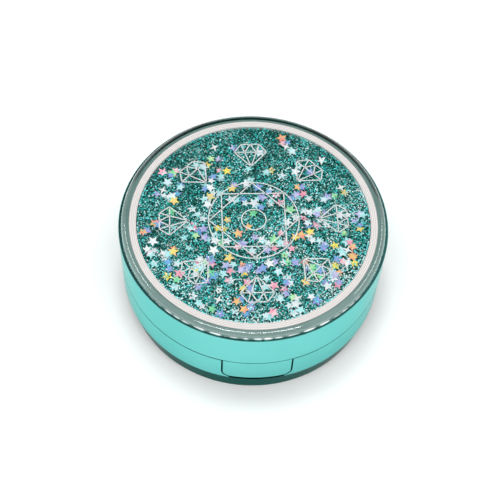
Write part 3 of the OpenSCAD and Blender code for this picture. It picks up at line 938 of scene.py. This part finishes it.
@dataclass
class PrintedLines:
    """The silver print under the cover: a garland of gems and sparkles round an eight-pointed star."""

    pool_r: float
    top: float
    thickness: float
    line_w: float = 0.28 * MM
    gems: int = 8
    gem_w: float = 9.0 * MM
    gem_h: float = 7.6 * MM
    gem_inset: float = 8.8 * MM
    sparkle_inset: float = 5.0 * MM
    sparkle_r: float = 1.5 * MM
    sparkle_waist: float = 0.28
    medal_r: float = 12.2 * MM
    eye_r: float = 3.4 * MM
    tips: int = 8
    segments: int = 128
    gem_lines: tuple[tuple[Point, ...], ...] = (
        ((-0.56, 0.36), (0.56, 0.36), (1.0, 0.0), (0.0, -0.64), (-1.0, 0.0), (-0.56, 0.36)),
        ((-1.0, 0.0), (1.0, 0.0)),
        ((-0.56, 0.36), (-0.36, 0.0), (0.0, 0.36), (0.36, 0.0), (0.56, 0.36)),
        ((-0.36, 0.0), (0.0, -0.64), (0.36, 0.0)),
    )

    def build(self) -> None:
        """Builds the print as one piece."""
        parts = [self.strokes(), self.ends(), self.sparkles()]
        parts += [self.ring(r) for r in (self.medal_r, self.eye_r)]
        start_clean()
        for part in parts:
            part.select_set(True)
        bpy.context.view_layer.objects.active = parts[0]
        bpy.ops.object.join()
        lines = bpy.context.object
        lines.name = "print_lines"
        lines.data.materials.append(SilverInk("silver_ink", "#f6f9f9", "#d6dede").make())
        settle(lines, Body.LID, "silver_print", "line_print")

    def segments_of_lines(self) -> list[tuple[Vector, Vector]]:
        """Lists the straight lines of the print.

        Returns:
            The two ends of each line, in the plane of the print.
        """
        lines = []
        for i in range(self.gems):
            turn = Matrix.Rotation(math.tau * i / self.gems, 2)
            centre = Vector((0.0, self.pool_r - self.gem_inset))
            for line in self.gem_lines:
                spots = [turn @ (centre + Vector((x * self.gem_w / 2, y * self.gem_h))) for x, y in line]
                lines += list(zip(spots, spots[1:]))
        reach = self.medal_r - self.line_w
        for i in range(self.tips):
            turn = Matrix.Rotation(math.tau * i / self.tips, 2)
            lines.append((turn @ Vector((0.0, reach)), turn @ Vector((reach, 0.0))))
        return lines

    def strokes(self) -> bpy.types.Object:
        """Models one straight stroke and copies it along every line."""
        start_clean()
        bpy.ops.mesh.primitive_plane_add(size=1.0)
        bar = bpy.context.object
        thicken(bar, self.thickness)
        places = []
        for a, b in self.segments_of_lines():
            run = b - a
            middle = ((a + b) / 2).to_3d()
            middle.z = self.top - self.thickness
            places.append(Matrix.Translation(middle) @ Matrix.Rotation(math.atan2(run.y, run.x), 4, "Z")
                          @ Matrix.Diagonal((run.length, self.line_w, 1.0, 1.0)))
        return copies(bar, "print_strokes", places)

    def ends(self) -> bpy.types.Object:
        """Models one round end and copies it to both ends of every line."""
        start_clean()
        bpy.ops.mesh.primitive_circle_add(vertices=12, radius=self.line_w / 2, fill_type="NGON")
        dot = bpy.context.object
        thicken(dot, self.thickness)
        spots = {(round(p.x, 7), round(p.y, 7)) for line in self.segments_of_lines() for p in line}
        return copies(dot, "print_ends",
                      [Matrix.Translation((x, y, self.top - self.thickness)) for x, y in sorted(spots)])

    def sparkles(self) -> bpy.types.Object:
        """Models one four-pointed sparkle and copies it between the gems."""
        start_clean()
        bpy.ops.mesh.primitive_circle_add(vertices=8, radius=self.sparkle_r, fill_type="NGON")
        spark = bpy.context.object
        pinch(spark, self.sparkle_waist)
        thicken(spark, self.thickness)
        places = []
        for i in range(self.gems):
            turn = Matrix.Rotation(math.tau * (i + 0.5) / self.gems, 4, "Z")
            spot = Matrix.Translation((0.0, self.pool_r - self.sparkle_inset, self.top - self.thickness))
            places.append(turn @ spot)
        return copies(spark, "print_sparkles", places)

    def ring(self, radius: float) -> bpy.types.Object:
        """Models one printed ring.

        Args:
            radius: The ring's outer radius.

        Returns:
            The ring, in its place.
        """
        ring = flat_ring("print_ring", radius, self.line_w, self.top - self.thickness, self.segments)
        thicken(ring, self.thickness)
        return ring


@dataclass
class Case:
    """The pieces that keep their CAD solids, and the finish of each.

    The heights and radii say where painted shade darkens the plated pieces: the tapered foot, which mirrors
    its contact shadow, the walls of the button's gap and a strip under it, and the cover's groove behind the
    brim.
    """

    wall_r: float = 36.0 * MM
    skin: float = 0.06 * MM
    foot_top: float = 6.9 * MM
    sill_top: float = 7.35 * MM
    sill_half: float = 7.4 * MM
    window_half: float = 9.7 * MM
    window_top: float = 15.6 * MM
    groove_low: float = 26.8 * MM
    brim_r: float = 35.42 * MM

    def dress(self, nodes: dict[str, bpy.types.Object]) -> None:
        """Puts a finish on every CAD node that stays in view.

        Args:
            nodes: The frame's nodes by name.
        """
        mint_tones = ("#7ed4d0", "#77cec9")
        # Painted shade: the foot and its glancing tint are darkened to stand for the plating mirroring its
        # own contact shadow.
        foot = ShadeZone("#326862", "#a7bcba", below=self.foot_top)
        # Painted shade: near-black on the walls of the button's window, on the button's flange behind it,
        # and on a strip of wall just under the button, where its gap lies in shade.
        gap_shade_tones = ("#06201e", "#06201e")
        window_shade = ShadeZone(*gap_shade_tones, above=self.foot_top, below=self.window_top,
                          inside=self.wall_r - self.skin, half_width=self.window_half, before=0.0)
        sill_shade = ShadeZone(*gap_shade_tones, above=self.foot_top, below=self.sill_top, half_width=self.sill_half,
                        before=0.0)
        # Painted shade: the lid's groove behind the brim, seen through the cover, gets a darker mint.
        groove = ShadeZone("#7fc4bb", "#c6eeeb", above=self.groove_low, inside=self.brim_r)
        base_plate = PlatedAbs("base_plated_abs_painted_shade", *mint_tones, (foot, window_shade, sill_shade)).make()
        button_plate = PlatedAbs("button_plated_abs_painted_shade", *mint_tones, (window_shade,)).make()
        lid_plate = PlatedAbs("lid_plated_abs_painted_shade", *mint_tones, (groove,)).make()
        white = MouldedPlastic("white_abs", "#f2f4f2", "#e6eae8").make()
        mint = MouldedPlastic("pale_mint_pp", "#d8f0ec", "#c9e8e2", smooth=0.38, rough=0.52).make()
        pearl = TurnedRing("pearl_ring", "#efebe9", "#cfc9c7").make()
        steel = DrawnSteel("drawn_steel", "#b9bec4").make()
        mirror = SilveredGlass("silvered_glass", "#e6efec").make()
        foam = MouldedPlastic("foam_tape", "#a9b6b2", "#97a5a1", smooth=0.8, rough=0.95).make()
        clear = ClearAcrylic("clear_plate", "#eefaf6").make()
        bed = GlitterBed("teal_glitter_bed").make()
        finishes = {
            "base_shell": base_plate, "lid_shell": lid_plate, "push_button": button_plate,
            "base_liner": white, "lid_liner": white, "fill_plug": white,
            "pill_tray": mint, "tray_divider": mint, "spacer_ring": pearl,
            "hinge_pin": steel, "button_springs": steel, "mirror": mirror,
            "mirror_tape": foam, "capsule_tape": foam, "back_plate": clear, "glitter_film": bed,
        }
        for name, finish in finishes.items():
            for slot in nodes[name].material_slots:
                slot.material = finish
            LOG.info("%s wears %s", name, finish.name)


@dataclass(frozen=True)
class SoftBox:
    """A soft box that points at the case, with its length along a given line.

    A box that isn't mirrored lights the case without showing in its shiny faces.
    """

    name: str
    start: tuple[float, float, float]
    end: tuple[float, float, float]
    width: float
    power: float
    mirrored: bool = True

    def hang(self) -> None:
        """Hangs the box."""
        run = Vector(self.end) - Vector(self.start)
        middle = (Vector(self.start) + Vector(self.end)) / 2
        back = middle.normalized()
        along = (run - back * run.dot(back)).normalized()
        lamp = bpy.data.lights.new(self.name, "AREA")
        lamp.shape = "RECTANGLE"
        lamp.size = run.length
        lamp.size_y = self.width
        lamp.energy = self.power
        box = bpy.data.objects.new(self.name, lamp)
        box.visible_glossy = self.mirrored
        turn = Matrix((along, back.cross(along), back)).transposed()
        box.matrix_world = Matrix.Translation(middle) @ turn.to_4x4()
        bpy.context.collection.objects.link(box)


@dataclass
class Studio:
    """White paper floor, soft boxes, a dark flag high at the back, and the camera.

    The flag is a patch of the sky where the flat top of the cover mirrors the room.
    """

    boxes: tuple[SoftBox, ...] = (
        SoftBox("strip_front", (-0.29, -0.24, 0.66), (0.25, -0.24, 0.66), 0.1, 1.95),
        SoftBox("fill_top", (-0.1, 0.1, 0.74), (0.06, 0.1, 0.74), 0.16, 1.3, mirrored=False),
        SoftBox("strip_left", (-0.4, 0.02, 0.54), (-0.36, 0.36, 0.52), 0.08, 0.45),
        SoftBox("strip_right", (0.4, 0.02, 0.54), (0.36, 0.36, 0.52), 0.08, 0.45),
    )
    floor_r: float = 0.42
    floor_sunk: float = 0.02 * MM
    sky: float = 0.5
    flag: str = "#3a3f40"
    flag_height: float = math.radians(58.5)
    flag_half: float = math.radians(12.0)
    flag_edge: float = math.radians(17.0)
    distance: float = 0.3
    elevation: float = math.radians(57.54)
    azimuth: float = math.radians(-5.5)
    roll: float = math.radians(3.55)
    focal_px: float = 1091.0
    frame_px: float = 500.0
    sensor_mm: float = 36.0
    subject: tuple[float, float, float] = (0.0, 0.0, 17.93 * MM)
    subject_off: tuple[float, float] = (2.3, 7.5)

    def build(self) -> None:
        """Builds floor, world, lamps and camera."""
        self.lay_floor()
        self.hang_world()
        for box in self.boxes:
            box.hang()
        self.place_camera()

    def lay_floor(self) -> None:
        """Lays the round sheet of paper under the case."""
        start_clean()
        bpy.ops.mesh.primitive_circle_add(vertices=96, radius=self.floor_r, fill_type="NGON",
                                          location=(0.0, 0.0, -self.floor_sunk))
        floor = bpy.context.object
        floor.name = "paper_floor"
        floor.data.materials.append(WhitePaper("white_paper").make())

    def hang_world(self) -> None:
        """Makes a plain pale sky with the dark flag in it, in front of a white backdrop."""
        world = bpy.data.worlds.new("studio")
        world.use_nodes = True
        tree = world.node_tree
        tree.nodes.clear()
        way = add_node(tree, "ShaderNodeTexCoord").outputs["Generated"]
        flag_way = (0.0, math.cos(self.flag_height), math.sin(self.flag_height))
        near = add_node(tree, "ShaderNodeVectorMath", {0: way, 1: flag_way}, operation="DOT_PRODUCT")
        patch = add_node(tree, "ShaderNodeValToRGB", {"Fac": near.outputs["Value"]},
                         stops=((math.cos(self.flag_edge), "#ffffff"),
                                (math.cos(self.flag_half), self.flag)))
        sky = add_node(tree, "ShaderNodeBackground", {"Color": patch, "Strength": self.sky})
        seen = add_node(tree, "ShaderNodeBackground", {"Color": linear("#ffffff"), "Strength": 1.0})
        ray = add_node(tree, "ShaderNodeLightPath")
        mix = add_node(tree, "ShaderNodeMixShader", {0: ray.outputs["Is Camera Ray"], 1: sky, 2: seen})
        add_node(tree, "ShaderNodeOutputWorld", {"Surface": mix})
        bpy.context.scene.world = world

    def place_camera(self) -> None:
        """Places the camera at the picture's angle, aimed so that the subject lands off the middle."""
        away = Vector((math.sin(self.azimuth) * math.cos(self.elevation),
                       -math.cos(self.azimuth) * math.cos(self.elevation), math.sin(self.elevation)))
        subject = Vector(self.subject)
        location = subject + away * self.distance
        right, up = self.axes(away)
        off_x, off_y = (d * self.distance / self.focal_px for d in self.subject_off)
        back = (location - (subject - right * off_x - up * off_y)).normalized()
        right, up = self.axes(back)
        data = bpy.data.cameras.new("camera")
        data.sensor_width = self.sensor_mm
        data.lens = self.focal_px / self.frame_px * self.sensor_mm
        camera = bpy.data.objects.new("camera", data)
        turn = Matrix((right, up, back)).transposed()
        camera.matrix_world = Matrix.Translation(location) @ turn.to_4x4()
        bpy.context.collection.objects.link(camera)
        bpy.context.scene.camera = camera

    def axes(self, back: Vector) -> tuple[Vector, Vector]:
        """Finds the rolled camera's axes.

        Args:
            back: The way from the subject to the camera.

        Returns:
            The camera's right and its up.
        """
        level = Vector((0.0, 0.0, 1.0)).cross(back).normalized()
        right = level * math.cos(self.roll) + back.cross(level) * math.sin(self.roll)
        return right, back.cross(right)


def main() -> None:
    """Loads the frame, builds the capsule, dresses the case and sets the studio."""
    logging.basicConfig(level=logging.INFO, format="%(name)s: %(message)s")
    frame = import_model()
    bpy.context.scene.view_settings.view_transform = "Standard"
    Studio().build()
    Case().dress(frame["nodes"])
    Capsule().build()


if __name__ == "__main__":
    main()
